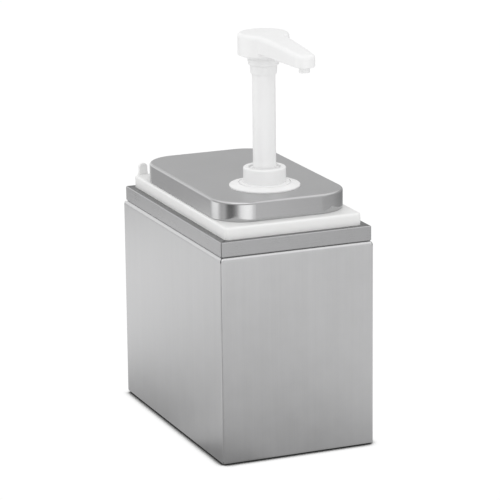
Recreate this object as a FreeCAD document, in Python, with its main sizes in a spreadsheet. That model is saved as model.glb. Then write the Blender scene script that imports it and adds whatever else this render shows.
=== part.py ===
import FreeCAD, Part
import math
import os
import re

import Sketcher
from FreeCAD import Placement, Rotation, Vector

# A countertop condiment pump dispenser: a folded steel housing, a plastic container that
# hangs in it, a pressed steel lid, and a plunger pump that stands on the lid.
# Origin: centre of the housing's footprint on the standing plane. +X right, +Y to the
# rear, +Z up. The spout points forwards, along -Y. Millimetres.

# Driving dimensions: alias, value, meaning.
SIZES = [
    ("housing_width", 137.0, "outside width of the housing"),
    ("housing_length", 222.5, "outside length of the housing, front to rear"),
    ("housing_top", 176.8, "height of the folded body's top bend"),
    ("sheet", 1.2, "thickness of the housing's steel sheet"),
    ("foot_gap", 1.0, "gap between the housing's lower edge and the standing plane"),
    ("top_bend", 3.6, "outside radius of the body's top bend"),
    ("low_bend", 1.6, "outside radius of the lower bends and of the rear panel's bends"),
    ("corner_bend", 1.8, "outside radius of the front vertical corners"),
    ("flange_depth", 12.0, "width of the lower flanges and of the rear panel's returns"),
    ("top_flange", 9.5, "width of the front shell's upper flanges"),
    ("fold_gap", 0.5, "slit between two mitred flanges"),
    ("panel_gap", 0.1, "gap between the rear panel's returns and each side wall"),
    ("collar_inset", 1.4, "how far the collar stands in from the housing's face"),
    ("collar_top", 189.6, "height of the collar's top flange"),
    ("collar_lip", 8.7, "width of the collar's top flange"),
    ("collar_seat", 8.0, "width of the collar's bottom flange"),
    ("collar_bend", 1.0, "outside radius of the collar's bends"),
    ("collar_slit", 0.35, "how far each mitred end stops short of the true 45 degree line"),
    ("collar_cut", 12.0, "how far in from the collar's face its mitres are cut"),
    ("plate_clear", 0.8, "gap between the base plate and the walls"),
    ("pad_width", 109.0, "width of the anti-slip pad"),
    ("pad_length", 194.0, "length of the anti-slip pad"),
    ("pad_corner", 8.0, "corner radius of the anti-slip pad"),
    ("rivet_radius", 2.0, "shank radius of the base rivets"),
    ("rivet_head", 3.8, "head radius of the base rivets"),
    ("rivet_head_height", 0.7, "height of a rivet's head below the flange"),
    ("rivet_bulb", 3.0, "radius of a rivet's set end"),
    ("rivet_bulb_height", 1.6, "height of a rivet's set end above the plate"),
    ("rivet_side", 60.5, "distance of the shell's rivets from the middle, sideways"),
    ("rivet_panel_side", 44.0, "distance of the rear panel's rivets from the middle, sideways"),
    ("rivet_end", 103.5, "distance of the end rivets from the middle, lengthways"),
    ("rim_width", 122.0, "width of the container's rim"),
    ("rim_front", 104.5, "rim's front edge, ahead of the origin"),
    ("rim_rear", 105.7, "rim's rear edge, behind the origin"),
    ("rim_corner", 4.0, "corner radius of the rim in plan"),
    ("rim_top", 200.0, "height of the rim's deck"),
    ("rim_edge", 2.0, "rounding of the rim's top edge"),
    ("tub_wall", 2.5, "wall of the container"),
    ("mouth_width", 114.6, "outside width of the lip round the container's mouth"),
    ("mouth_front", 93.0, "front of the lip, ahead of the origin"),
    ("mouth_rear", 94.5, "rear of the lip, behind the origin"),
    ("mouth_corner", 27.5, "corner radius of the lip in plan"),
    ("mouth_height", 6.0, "height of the lip above the deck"),
    ("tub_bottom", 9.0, "height of the container's underside"),
    ("tub_foot_width", 105.0, "outside width of the container at its floor"),
    ("tub_foot_inset", 4.5, "how far the floor's ends stand in from the mouth's"),
    ("tub_foot_corner", 23.5, "corner radius of the container at its floor"),
    ("ear_width", 7.3, "width of a lifting ear"),
    ("ear_foot", 10.0, "width of a lifting ear at its foot"),
    ("ear_side", 53.0, "distance of each ear from the middle"),
    ("ear_height", 10.0, "height of a lifting ear above the deck"),
    ("ear_thickness", 3.0, "thickness of a lifting ear"),
    ("lid_width", 117.4, "outside width of the lid"),
    ("lid_front", 94.5, "lid's front edge, ahead of the origin"),
    ("lid_rear", 96.0, "lid's rear edge, behind the origin"),
    ("lid_corner", 29.0, "corner radius of the lid in plan"),
    ("lid_edge", 2.2, "rounding of the lid's top edge"),
    ("lid_sheet", 0.8, "thickness of the lid's steel sheet"),
    ("lid_rest", 0.2, "gap between the deck and the lid's lower edge"),
    ("lid_top", 216.5, "height of the lid's top"),
    ("lid_hole", 17.2, "radius of the lid's hole for the pump"),
    ("pump_forward", 43.5, "pump axis, ahead of the origin"),
    ("bore", 11.2, "radius of the pump cylinder's bore"),
    ("cylinder_wall", 1.8, "wall of the pump cylinder"),
    ("cylinder_floor", 98.0, "height of the cylinder's inner floor"),
    ("floor_thickness", 2.0, "thickness of the cylinder's floor"),
    ("skirt_length", 12.0, "length of the socket under the cylinder's floor"),
    ("skirt_radius", 10.4, "outside radius of that socket"),
    ("valve_radius", 8.15, "outside radius of the foot valve's body"),
    ("valve_play", 0.05, "radial clearance of the pressed plastic parts"),
    ("chamber", 5.5, "radius of the foot valve's ball chamber"),
    ("barb_radius", 4.9, "outside radius of the foot valve's tail"),
    ("barb_bore", 2.5, "radius of the valve seats' throats"),
    ("barb_length", 16.0, "length of the foot valve's tail"),
    ("inlet_ball_radius", 4.5, "radius of the inlet ball"),
    ("outlet_ball_radius", 4.0, "radius of the outlet ball"),
    ("ball_play", 0.05, "height of a ball above its seat"),
    ("tube_radius", 6.2, "outside radius of the dip tube"),
    ("tube_bottom", 20.0, "height of the dip tube's open end"),
    ("neck_radius", 15.0, "radius of the neck inside the cap"),
    ("neck_bore", 13.3, "radius of the hole through the neck"),
    ("neck_top", 226.0, "height of the neck's top"),
    ("thread_radius", 16.6, "radius of the neck under the lid"),
    ("flange_radius", 29.8, "radius of the flange on the lid"),
    ("flange_edge", 1.1, "height of the flange's outer edge"),
    ("flange_rise", 3.1, "height of the flange where it meets its groove"),
    ("groove_radius", 21.7, "mean radius of the flange's ring groove"),
    ("groove_half", 0.45, "half the width of the ring groove"),
    ("groove_depth", 0.7, "depth of the ring groove"),
    ("cap_radius", 17.9, "outside radius of the screw cap"),
    ("cap_foot", 3.7, "height of the cap's lower edge above the lid"),
    ("cap_top", 233.0, "height of the screw cap's rim"),
    ("cap_edge", 1.5, "rounding of the cap's rim"),
    ("cap_recess", 13.5, "radius of the recess in the cap's top"),
    ("cap_web", 231.0, "height of the recess's floor"),
    ("stack_gasket", 0.8, "thickness of the cylinder's gasket"),
    ("stack_flange", 1.6, "thickness of the cylinder's flange"),
    ("stack_guide", 1.2, "thickness of the stem guide's flange"),
    ("guide_radius", 11.1, "outside radius of the stem guide"),
    ("guide_play", 0.1, "radial clearance of the stem in its guide"),
    ("guide_top", 232.2, "height of the stem guide's top"),
    ("guide_bottom", 215.0, "height of the stem guide's lower end"),
    ("gasket_radius", 26.0, "outside radius of the gasket under the lid"),
    ("gasket_thickness", 1.5, "thickness of the gasket under the lid"),
    ("nut_radius", 24.0, "outside radius of the lock nut"),
    ("nut_height", 8.0, "height of the lock nut"),
    ("nut_grips", 12, "number of grip notches in the lock nut"),
    ("nut_notch", 2.4, "radius of a grip notch"),
    ("stem_radius", 9.7, "outside radius of the stem"),
    ("stem_bore", 7.2, "radius of the passage in the stem"),
    ("stem_bottom", 203.0, "height of the stem's lower end"),
    ("stem_top", 322.0, "height of the stem's upper end"),
    ("ring_groove", 316.5, "height of the stem's ring groove"),
    ("ring_groove_radius", 8.2, "radius of the stem's ring groove"),
    ("ring_section", 0.75, "section radius of the stem's sealing ring"),
    ("piston_radius", 10.9, "outside radius of the piston"),
    ("piston_top", 214.6, "height of the piston's top"),
    ("piston_bottom", 195.0, "height of the piston's underside"),
    ("piston_chamber", 5.2, "radius of the piston's ball chamber"),
    ("seal_bottom", 197.4, "height of the seal groove's lower edge"),
    ("seal_height", 3.2, "height of the piston's seal groove"),
    ("seal_groove_radius", 9.3, "radius of the piston's seal groove"),
    ("seal_radius", 11.15, "outside radius of the piston's seal"),
    ("cage_clear", 3.4, "gap between a ball at rest and its cage's bars"),
    ("cage_bar", 1.8, "width and height of a cage's bars"),
    ("spring_radius", 9.3, "mean radius of the return spring"),
    ("spring_wire", 0.8, "radius of the spring's wire"),
    ("spring_turns", 10, "turns of the return spring"),
    ("collet_bottom", 312.0, "height of the head neck's lower end"),
    ("collet_radius", 10.9, "radius of the head's neck at its lower end"),
    ("collet_step", 319.0, "height of the neck's step"),
    ("collet_step_radius", 11.4, "radius of the neck just under its step"),
    ("neck_wide", 12.9, "radius of the head's neck above its step"),
    ("step_rise", 0.8, "height of the slope above the neck's step"),
    ("bead_slope", 0.6, "height of the slopes above and below the bead"),
    ("bead_radius", 13.3, "radius of the bead on the head's neck"),
    ("bead_bottom", 322.0, "height of the bead's lower edge"),
    ("bead_top", 324.8, "height of the bead's upper edge"),
    ("head_play", 0.05, "radial clearance of the stem in the head"),
    ("head_bottom", 327.8, "height of the press pad's underside"),
    ("head_top", 346.4, "height of the press pad's top"),
    ("head_radius", 21.5, "radius of the press pad"),
    ("head_edge", 3.4, "rounding of the head's top edge"),
    ("head_low_edge", 1.0, "rounding of the press pad's lower edge"),
    ("spout_reach", 83.2, "distance from the pump axis to the nozzle's axis"),
    ("spout_bottom", 331.6, "height of the spout's underside"),
    ("crown_radius", 887.0, "radius of the head's top, which falls away along the spout"),
    ("spout_start", 10.0, "distance from the pump axis to the spout's inner end"),
    ("spout_root", 12.8, "half the spout's width at its inner end"),
    ("spout_tip", 8.6, "radius of the spout's end"),
    ("spout_low_edge", 1.0, "rounding of the spout's lower edges"),
    ("shoulder", 2.5, "radius of the shoulder between pad and spout"),
    ("duct_radius", 3.4, "radius of the passage in the spout"),
    ("duct_height", 337.0, "height of the passage in the spout"),
    ("riser_radius", 6.5, "radius of the passage above the stem"),
    ("riser_roof", 340.0, "height of the roof of that passage"),
    ("nozzle_radius", 4.46, "outside radius of the nozzle"),
    ("nozzle_bore", 3.0, "radius of the passage in the nozzle"),
    ("nozzle_bottom", 327.15, "height of the nozzle's end"),
    ("nozzle_top", 334.0, "height of the nozzle's upper end"),
]
NAMES = {alias for alias, _, _ in SIZES}
COLLARS = {"collar_front": 0, "collar_right": 90, "collar_rear": 180, "collar_left": 270}
PANEL_RIVETS = [("-rivet_end", "rivet_panel_side")]
SHELL_RIVETS = [("0", "rivet_side"), ("rivet_end", "rivet_side")]
ORIGIN_VERTEX = [-1, 1]  # the sketch origin, as Sketcher numbers it
TOLERANCE = 0.05

doc = FreeCAD.newDocument("condiment_pump_dispenser")
sheet = doc.addObject("Spreadsheet::Sheet", "Sizes")
for row, (alias, value, meaning) in enumerate(SIZES, start=1):
    sheet.set(f"A{row}", meaning)
    sheet.set(f"B{row}", str(value))
    sheet.setAlias(f"B{row}", alias)
doc.recompute()

parts = []  # the objects that are written, in the order they are made


# ---------------------------------------------------------------- small helpers

def bound(formula):
    """A formula in the sheet's words, as the expression engine reads it."""
    return re.sub(r"[a-z][a-z_]*", lambda word: "Sizes." + word.group()
                  if word.group() in NAMES else word.group(), formula)


def bind(thing, **formulas):
    """Bind an object's properties to formulas in the sheet's words."""
    for name, formula in formulas.items():
        thing.setExpression(name.replace("__", "."), bound(formula))


def near(first, second):
    return abs(first - second) < TOLERANCE


def new_body(label, on_pump_axis=False):
    """A named body; a body of the pump has its own Z axis on the pump's."""
    body = doc.addObject("PartDesign::Body", label)
    body.Label = label
    if on_pump_axis:
        bind(body, Placement__Base__y="-pump_forward")
    parts.append(body)
    return body


def new_sketch(body, role="XY_Plane", offset=None):
    """An empty sketch on one of the body's own origin planes."""
    sketch = body.newObject("Sketcher::SketchObject", body.Name + "_sketch")
    base = next(f for f in body.Origin.OriginFeatures if f.Role == role)
    sketch.AttachmentSupport = (base, [""])
    sketch.MapMode = "FlatFace"
    if offset:
        bind(sketch, AttachmentOffset__Base__z=offset)
    return sketch


def hold(sketch, kind, vertex, formula):
    """Hold one coordinate of a vertex at a formula; a leading minus is the negative side."""
    if formula == "0":
        axis = -2 if kind == "DistanceX" else -1
        sketch.addConstraint(Sketcher.Constraint("PointOnObject", *vertex, axis))
        return
    ends = [*vertex, *ORIGIN_VERTEX] if formula.startswith("-") else [*ORIGIN_VERTEX, *vertex]
    index = sketch.addConstraint(Sketcher.Constraint(kind, *ends, 1.0))
    sketch.setExpression(f"Constraints[{index}]", bound(formula.lstrip("-")))


def outline(sketch, points):
    """A closed outline of straight lines through points given as pairs of formulas."""
    first = sketch.GeometryCount
    count = len(points)
    middle, arm = Vector(60, 60, 0), Vector(40, 0, 0)  # rough first places, clear of the axes
    turns = [Rotation(Vector(0, 0, 1), 360.0 * k / count) for k in range(count)]
    spread = [middle + turn.multVec(arm) for turn in turns]
    for k in range(count):
        sketch.addGeometry(Part.LineSegment(spread[k], spread[(k + 1) % count]), False)
    for k in range(count):
        following = first + (k + 1) % count
        sketch.addConstraint(Sketcher.Constraint("Coincident", first + k, 2, following, 1))
    for k, (across, along) in enumerate(points):
        hold(sketch, "DistanceX", [first + k, 1], across)
        hold(sketch, "DistanceY", [first + k, 1], along)


def rounded_outline(sketch, width, front, rear, corner):
    """A rectangle with round corners, symmetric about the Y axis."""
    half_width, half_length, radius = 50.0, 90.0, 10.0
    corners = [(1, 1, 0), (-1, 1, 90), (-1, -1, 180), (1, -1, 270)]
    arcs = []
    for side, end, start in corners:
        centre = Vector(side * (half_width - radius), end * (half_length - radius), 0)
        circle = Part.Circle(centre, Vector(0, 0, 1), radius)
        first = math.radians(start)
        arc = Part.ArcOfCircle(circle, first, first + math.pi / 2)
        arcs.append(sketch.addGeometry(arc, False))
    lines = []
    for k in range(4):
        ahead = sketch.Geometry[arcs[(k + 1) % 4]].StartPoint
        line = Part.LineSegment(sketch.Geometry[arcs[k]].EndPoint, ahead)
        lines.append(sketch.addGeometry(line, False))
    for k in range(4):
        follow = arcs[(k + 1) % 4]
        sketch.addConstraint(Sketcher.Constraint("Tangent", arcs[k], 2, lines[k], 1))
        sketch.addConstraint(Sketcher.Constraint("Tangent", lines[k], 2, follow, 1))
        kind = "Horizontal" if k % 2 == 0 else "Vertical"
        sketch.addConstraint(Sketcher.Constraint(kind, lines[k]))
    for k in range(1, 4):
        sketch.addConstraint(Sketcher.Constraint("Equal", arcs[0], arcs[k]))
    index = sketch.addConstraint(Sketcher.Constraint("Radius", arcs[0], radius))
    sketch.setExpression(f"Constraints[{index}]", bound(corner))
    hold(sketch, "DistanceY", [lines[0], 1], rear)
    hold(sketch, "DistanceY", [lines[2], 1], "-" + front)
    hold(sketch, "DistanceX", [lines[3], 1], f"({width}) / 2")
    hold(sketch, "DistanceX", [lines[1], 1], f"-({width}) / 2")


def circle(sketch, radius, across="0", along="0"):
    """A full circle at a place given by formulas."""
    shape = Part.Circle(Vector(5, 5, 0), Vector(0, 0, 1), 3)
    index = sketch.addGeometry(shape, False)
    bound_to = sketch.addConstraint(Sketcher.Constraint("Radius", index, 3))
    sketch.setExpression(f"Constraints[{bound_to}]", bound(radius))
    hold(sketch, "DistanceX", [index, 3], across)
    hold(sketch, "DistanceY", [index, 3], along)


def feature(body, kind, sketch, **settings):
    """A PartDesign feature on a sketch; text settings are formulas."""
    made = body.newObject("PartDesign::" + kind, body.Name + "_" + kind.lower())
    made.Profile = sketch
    for name, setting in settings.items():
        if isinstance(setting, str) and name not in ("Type", "Mode"):
            bind(made, **{name: setting})
        else:
            setattr(made, name, setting)
    sketch.Visibility = False
    doc.recompute()
    return made


def pad(body, sketch, height, **settings):
    return feature(body, "Pad", sketch, Length=height, **settings)


def pocket(body, sketch, depth, upwards=False):
    """Cut along the sketch's normal (upwards) or against it, and make sure that it cuts."""
    before = body.Shape.Volume
    cut = feature(body, "Pocket", sketch, Length=depth, Reversed=upwards)
    if body.Shape.Volume > before - 1e-6:
        raise RuntimeError(f"{cut.Name} cuts nothing")
    return cut


def turned(body, points):
    """A body of revolution: the outline is (radius, height) about the body's Z axis."""
    sketch = new_sketch(body, "XZ_Plane")
    outline(sketch, points)
    return feature(body, "Revolution", sketch, ReferenceAxis=(sketch, ["V_Axis"]), Angle=360.0)


def edges_where(shape, test):
    """The names of the edges whose bounding box passes a test."""
    return [f"Edge{k}" for k, edge in enumerate(shape.Edges, 1) if test(edge.BoundBox)]


def fillet(body, radius, test):
    """Round the edges of the body's newest feature that pass a test."""
    base = body.Tip
    names = edges_where(base.Shape, test)
    if not names:
        raise RuntimeError(f"no edges to round on {body.Name}")
    made = body.newObject("PartDesign::Fillet", body.Name + "_fillet")
    made.Base = (base, names)
    bind(made, Radius=radius)
    doc.recompute()
    return made


def level(height, size=None):
    """A test for edges that lie flat at a height, with at least a given width."""
    def test(box):
        flat = near(box.ZMin, height) and near(box.ZMax, height)
        return flat and (size is None or near(box.XLength, size))
    return test


def primitive(kind, label, kept=True, **formulas):
    """A Part primitive whose sizes and place are formulas."""
    made = doc.addObject("Part::" + kind, label)
    bind(made, **formulas)
    if kept:
        made.Label = label
        parts.append(made)
    return made


# ---------------------------------------------------------------- housing
# The shell, its closing panel and the base plate are drawn with the panel towards -Y and
# then turned, so that the bent face is the front and the panel closes the rear.

def turn(body, angle):
    """Turn a body about the vertical line through the origin."""
    body.Placement = Placement(Vector(), Rotation(Vector(0, 0, 1), angle))


def front_shell():
    """Left side, front and right side in one sheet, with flanges at the top and bottom."""
    body = new_body("front_shell")
    half_width, half_length = "housing_width / 2", "housing_length / 2"
    sketch = new_sketch(body, offset="foot_gap")
    outline(sketch, [("-" + half_width, "-" + half_length), (half_width, "-" + half_length),
                     (half_width, half_length), ("-" + half_width, half_length)])
    pad(body, sketch, "housing_top - foot_gap")
    top, low = sheet.housing_top, sheet.foot_gap
    open_y, bent_y = -sheet.housing_length / 2, sheet.housing_length / 2

    def at_open_end(box):
        return near(box.YMin, open_y) and near(box.YMax, open_y)

    inside = new_sketch(body, "XZ_Plane", offset=half_length + " + 1")
    outline(inside, [("-(housing_width / 2 - sheet)", "foot_gap + sheet"),
                     ("housing_width / 2 - sheet", "foot_gap + sheet"),
                     ("housing_width / 2 - sheet", "housing_top - sheet"),
                     ("-(housing_width / 2 - sheet)", "housing_top - sheet")])
    pocket(body, inside, "housing_length + 1 - sheet")
    inner_y = bent_y - sheet.sheet
    fillet(body, "corner_bend - sheet", lambda box: near(box.YMin, inner_y)
           and box.ZLength > 50)
    fillet(body, "top_bend - sheet", lambda box: level(top - sheet.sheet)(box)
           and not at_open_end(box))
    fillet(body, "corner_bend", lambda box: near(box.YMin, bent_y) and box.ZLength > 50)
    fillet(body, "top_bend", lambda box: level(top)(box) and not at_open_end(box))
    fillet(body, "low_bend", lambda box: level(low)(box) and not at_open_end(box))

    # The upper and lower openings, mitred at the open end, leave the inward flanges.
    wall_x = "(housing_width / 2 - sheet)"
    mitre_y = "-(housing_length / 2 - sheet - fold_gap)"
    ahead = "-(housing_length / 2 + 1)"
    for flange, height in (("top_flange", "housing_top + 1"), ("flange_depth", "housing_top / 2")):
        edge_x, edge_y = f"(housing_width / 2 - {flange})", f"(housing_length / 2 - {flange})"
        opening = new_sketch(body, offset=height)
        outline(opening, [("-" + edge_x, edge_y), (edge_x, edge_y),
                          (edge_x, f"-({edge_y} - fold_gap)"), (wall_x, mitre_y),
                          (wall_x, ahead), ("-" + wall_x, ahead), ("-" + wall_x, mitre_y),
                          ("-" + edge_x, f"-({edge_y} - fold_gap)")])
        pocket(body, opening, "housing_top / 2 + 1")

    # A slit at each bent corner lets the flanges fold.
    for height, depth in (("housing_top + 1", "top_bend + fold_gap + 1"),
                          ("foot_gap + low_bend + fold_gap", "low_bend + fold_gap + 1")):
        slit = new_sketch(body, offset=height)
        for side in ("", "-"):
            outline(slit, [(side + "(housing_width / 2 + 1 - fold_gap)", "housing_length / 2 + 1"),
                           (side + "(housing_width / 2 + 1 + fold_gap)", "housing_length / 2 + 1"),
                           (side + "(housing_width / 2 - flange_depth - 1 + fold_gap)",
                            "housing_length / 2 - flange_depth - 1"),
                           (side + "(housing_width / 2 - flange_depth - 1 - fold_gap)",
                            "housing_length / 2 - flange_depth - 1")])
        pocket(body, slit, depth)
    rivet_holes(body, SHELL_RIVETS)
    turn(body, 180)
    return body


def rivet_holes(body, rivets):
    """Holes for pairs of base rivets, each pair given as (along, across)."""
    sketch = new_sketch(body, offset="foot_gap + 2 * sheet + 1")
    for along, across in rivets:
        for side in ("", "-"):
            circle(sketch, "rivet_radius + valve_play", side + across, along)
    pocket(body, sketch, "2 * sheet + 2")


def rear_panel():
    """The closing sheet: a shallow tray whose returns stand inside the side walls."""
    body = new_body("rear_panel")
    half = "(housing_width / 2 - sheet - panel_gap)"
    face, back = "(housing_length / 2)", "(housing_length / 2 - flange_depth)"
    sketch = new_sketch(body, offset="foot_gap")
    outline(sketch, [("-" + half, "-" + face), (half, "-" + face),
                     (half, "-" + back), ("-" + half, "-" + back)])
    pad(body, sketch, "housing_top - foot_gap")
    face_y = -sheet.housing_length / 2
    top = sheet.housing_top

    def on_face(box):
        return near(box.YMin, face_y) and near(box.YMax, face_y)

    fillet(body, "top_bend", lambda box: level(top)(box) and on_face(box))
    fillet(body, "low_bend", lambda box: on_face(box) and not near(box.ZMax, top))

    inside = new_sketch(body, "XZ_Plane", offset=back + " - 1")
    inner = "(housing_width / 2 - 2 * sheet - panel_gap)"
    outline(inside, [("-" + inner, "foot_gap + sheet"), (inner, "foot_gap + sheet"),
                     (inner, "housing_top - sheet"), ("-" + inner, "housing_top - sheet")])
    pocket(body, inside, "flange_depth + 1 - sheet", upwards=True)
    inner_y = face_y + sheet.sheet
    fillet(body, "top_bend - sheet", lambda box: level(top - sheet.sheet)(box)
           and near(box.YMin, inner_y) and near(box.YMax, inner_y))

    # The returns stop short of the shell's flanges, and the flanges are mitred.
    for height, depth in (("housing_top + 1", "top_bend + sheet + 1"),
                          ("foot_gap + low_bend + sheet + 1", "low_bend + sheet + 2")):
        mitre = new_sketch(body, offset=height)
        for side in ("", "-"):
            outline(mitre, [(side + "(housing_width / 2 - flange_depth - fold_gap - 1)",
                             "-(housing_length / 2 - flange_depth - 1)"),
                            (side + "(housing_width / 2 + 1 - fold_gap)",
                             "-(housing_length / 2 + 1)"),
                            (side + "(housing_width / 2 + 3)", "-(housing_length / 2 + 1)"),
                            (side + "(housing_width / 2 + 3)",
                             "-(housing_length / 2 - flange_depth - 1)")])
        pocket(body, mitre, depth)
    rivet_holes(body, PANEL_RIVETS)
    turn(body, 180)
    return body


def collar(label, angle):
    """One mitred C-section length of the collar; the four stand round the top as a frame."""
    body = new_body(label)
    across = angle in (0, 180)
    reach = "housing_length" if across else "housing_width"
    run = "housing_width" if across else "housing_length"
    face = f"({reach} / 2 - collar_inset)"
    end = f"({run} / 2 - collar_inset)"
    sketch = new_sketch(body, "YZ_Plane")
    outline(sketch, [("-" + face, "housing_top"),
                     (f"-({face} - collar_seat)", "housing_top"),
                     (f"-({face} - collar_seat)", "housing_top + sheet"),
                     (f"-({face} - sheet)", "housing_top + sheet"),
                     (f"-({face} - sheet)", "collar_top - sheet"),
                     (f"-({face} - collar_lip)", "collar_top - sheet"),
                     (f"-({face} - collar_lip)", "collar_top"),
                     ("-" + face, "collar_top")])
    pad(body, sketch, f"2 * {end}", Midplane=True)
    outer = -(getattr(sheet, reach) / 2 - sheet.collar_inset)
    fillet(body, "collar_bend", lambda box: near(box.YMin, outer) and near(box.YMax, outer)
           and box.XLength > 50)
    mitre = new_sketch(body, offset="collar_top + 1")
    for side in ("", "-"):
        outline(mitre, [(f"{side}({end} + 1 - collar_slit)", f"-({face} + 1)"),
                        (f"{side}({end} - collar_cut - collar_slit)", f"-({face} - collar_cut)"),
                        (f"{side}({end} + 1)", f"-({face} - collar_cut)"),
                        (f"{side}({end} + 2)", f"-({face} + 1)")])
    pocket(body, mitre, "collar_top - housing_top + 2")
    turn(body, angle)
    return body


def base_plate():
    """The flat plate on the bottom flanges."""
    body = new_body("base_plate")
    half = "(housing_width / 2 - 2 * sheet - plate_clear)"
    end = "(housing_length / 2 - sheet - plate_clear)"
    sketch = new_sketch(body, offset="foot_gap + sheet")
    outline(sketch, [("-" + half, "-" + end), (half, "-" + end), (half, end), ("-" + half, end)])
    pad(body, sketch, "sheet")
    rivet_holes(body, PANEL_RIVETS + SHELL_RIVETS)
    turn(body, 180)
    return body


def base_pad():
    """The anti-slip pad under the base plate; the dispenser stands on it."""
    body = new_body("base_pad")
    sketch = new_sketch(body)
    rounded_outline(sketch, "pad_width", "pad_length / 2", "pad_length / 2", "pad_corner")
    pad(body, sketch, "foot_gap + sheet")
    return body


def base_rivets():
    """Six rivets through the base plate and the flanges, as one group of solids."""
    layers = [("rivet_head", "foot_gap - rivet_head_height", "rivet_head_height"),
              ("rivet_radius", "foot_gap", "2 * sheet"),
              ("rivet_bulb", "foot_gap + 2 * sheet", "rivet_bulb_height")]
    rivets = []
    for row, (along, across) in enumerate(PANEL_RIVETS + SHELL_RIVETS):
        for side, sign in (("right", ""), ("left", "-")):
            pieces = [primitive("Cylinder", f"rivet_{side}_{row}_{k}", kept=False,
                                Radius=radius, Height=height, Placement__Base__x=sign + across,
                                Placement__Base__y=f"-({along})",
                                Placement__Base__z=low)
                      for k, (radius, low, height) in enumerate(layers)]
            rivet = doc.addObject("Part::MultiFuse", f"rivet_{side}_{row}")
            rivet.Shapes = pieces
            rivets.append(rivet)
    group = doc.addObject("Part::Compound", "base_rivets")
    group.Label = "base_rivets"
    group.Links = rivets
    parts.append(group)
    return group


# ---------------------------------------------------------------- container and lid

def container():
    """The plastic container: a tapered tub hung by a down-turned rim, with two lifting ears."""
    body = new_body("container")
    rim = new_sketch(body, offset="collar_top")
    rounded_outline(rim, "rim_width", "rim_front", "rim_rear", "rim_corner")
    pad(body, rim, "rim_top - collar_top")
    fillet(body, "rim_edge", level(sheet.rim_top))
    under = new_sketch(body, offset="collar_top - 1")
    rounded_outline(under, "rim_width - 2 * tub_wall", "(rim_front - tub_wall)",
                    "(rim_rear - tub_wall)", "rim_corner - tub_wall")
    pocket(body, under, "rim_top - collar_top + 1 - tub_wall", upwards=True)
    lip = new_sketch(body, offset="rim_top - tub_wall")
    rounded_outline(lip, "mouth_width", "mouth_front", "mouth_rear", "mouth_corner")
    pad(body, lip, "tub_wall + mouth_height")

    def tub(kind, low, high, low_wall, high_wall):
        """A loft from the floor to the mouth, inset by a wall."""
        foot = new_sketch(body, offset=low)
        rounded_outline(foot, f"tub_foot_width - 2 * {low_wall}",
                        f"(mouth_front - tub_foot_inset - {low_wall})",
                        f"(mouth_rear - tub_foot_inset - {low_wall})",
                        f"tub_foot_corner - {low_wall}")
        head = new_sketch(body, offset=high)
        rounded_outline(head, f"mouth_width - 2 * {high_wall}", f"(mouth_front - {high_wall})",
                        f"(mouth_rear - {high_wall})", f"mouth_corner - {high_wall}")
        return feature(body, kind, foot, Sections=[head], Ruled=True)

    tub("AdditiveLoft", "tub_bottom", "rim_top - tub_wall / 2", "0 * tub_wall", "0.4")
    tub("SubtractiveLoft", "tub_bottom + tub_wall", "rim_top + mouth_height", "tub_wall",
        "tub_wall")
    for side in ("", "-"):
        ear = new_sketch(body, "XZ_Plane", offset="-rim_rear")
        middle = side + "(ear_side"
        outline(ear, [(middle + " - ear_foot / 2)", "rim_top - tub_wall"),
                      (middle + " + ear_foot / 2)", "rim_top - tub_wall"),
                      (middle + " + ear_width / 2)", "rim_top + ear_foot - ear_width"),
                      (middle + " + ear_width / 2)", "rim_top + ear_height"),
                      (middle + " - ear_width / 2)", "rim_top + ear_height"),
                      (middle + " - ear_width / 2)", "rim_top + ear_foot - ear_width")])
        pad(body, ear, "ear_thickness")
    ear_top = sheet.rim_top + sheet.ear_height
    fillet(body, "ear_width / 2 - 0.2", lambda box: near(box.ZMax, ear_top)
           and near(box.ZMin, ear_top) and near(box.YLength, sheet.ear_thickness))
    return body


def lid():
    """The pressed steel lid, with the hole for the pump."""
    body = new_body("lid")
    outer = new_sketch(body, offset="rim_top + lid_rest")
    rounded_outline(outer, "lid_width", "lid_front", "lid_rear", "lid_corner")
    pad(body, outer, "lid_top - rim_top - lid_rest")
    fillet(body, "lid_edge", level(sheet.lid_top))
    inner = new_sketch(body, offset="rim_top")
    rounded_outline(inner, "lid_width - 2 * lid_sheet", "(lid_front - lid_sheet)",
                    "(lid_rear - lid_sheet)", "lid_corner - lid_sheet")
    pocket(body, inner, "lid_top - lid_sheet - rim_top", upwards=True)
    fillet(body, "lid_edge - lid_sheet", level(sheet.lid_top - sheet.lid_sheet))
    hole = new_sketch(body, offset="lid_top + 1")
    circle(hole, "lid_hole", "0", "-pump_forward")
    pocket(body, hole, "lid_sheet + 2")
    return body


# ---------------------------------------------------------------- pump, fixed to the lid

def pump_flange():
    """The flange on the lid, with its neck above and its threaded tail below."""
    body = new_body("pump_flange", on_pump_axis=True)
    rise = "lid_top + flange_rise"
    turned(body, [("neck_bore", "lid_top - gasket_thickness - nut_height - lid_sheet - 2"),
                  ("thread_radius", "lid_top - gasket_thickness - nut_height - lid_sheet - 2"),
                  ("thread_radius", "lid_top"), ("flange_radius", "lid_top"),
                  ("flange_radius", "lid_top + flange_edge"),
                  ("groove_radius + 1.2", rise), ("groove_radius + groove_half", rise),
                  ("groove_radius + groove_half", rise + " - groove_depth"),
                  ("groove_radius - groove_half", rise + " - groove_depth"),
                  ("groove_radius - groove_half", rise),
                  ("cap_radius + 1", "lid_top + cap_foot"),
                  ("neck_radius", "lid_top + cap_foot"), ("neck_radius", "neck_top"),
                  ("neck_bore", "neck_top")])
    edge = sheet.lid_top + sheet.flange_edge
    fillet(body, "flange_edge / 3", level(edge, 2 * sheet.flange_radius))
    return body


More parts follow.
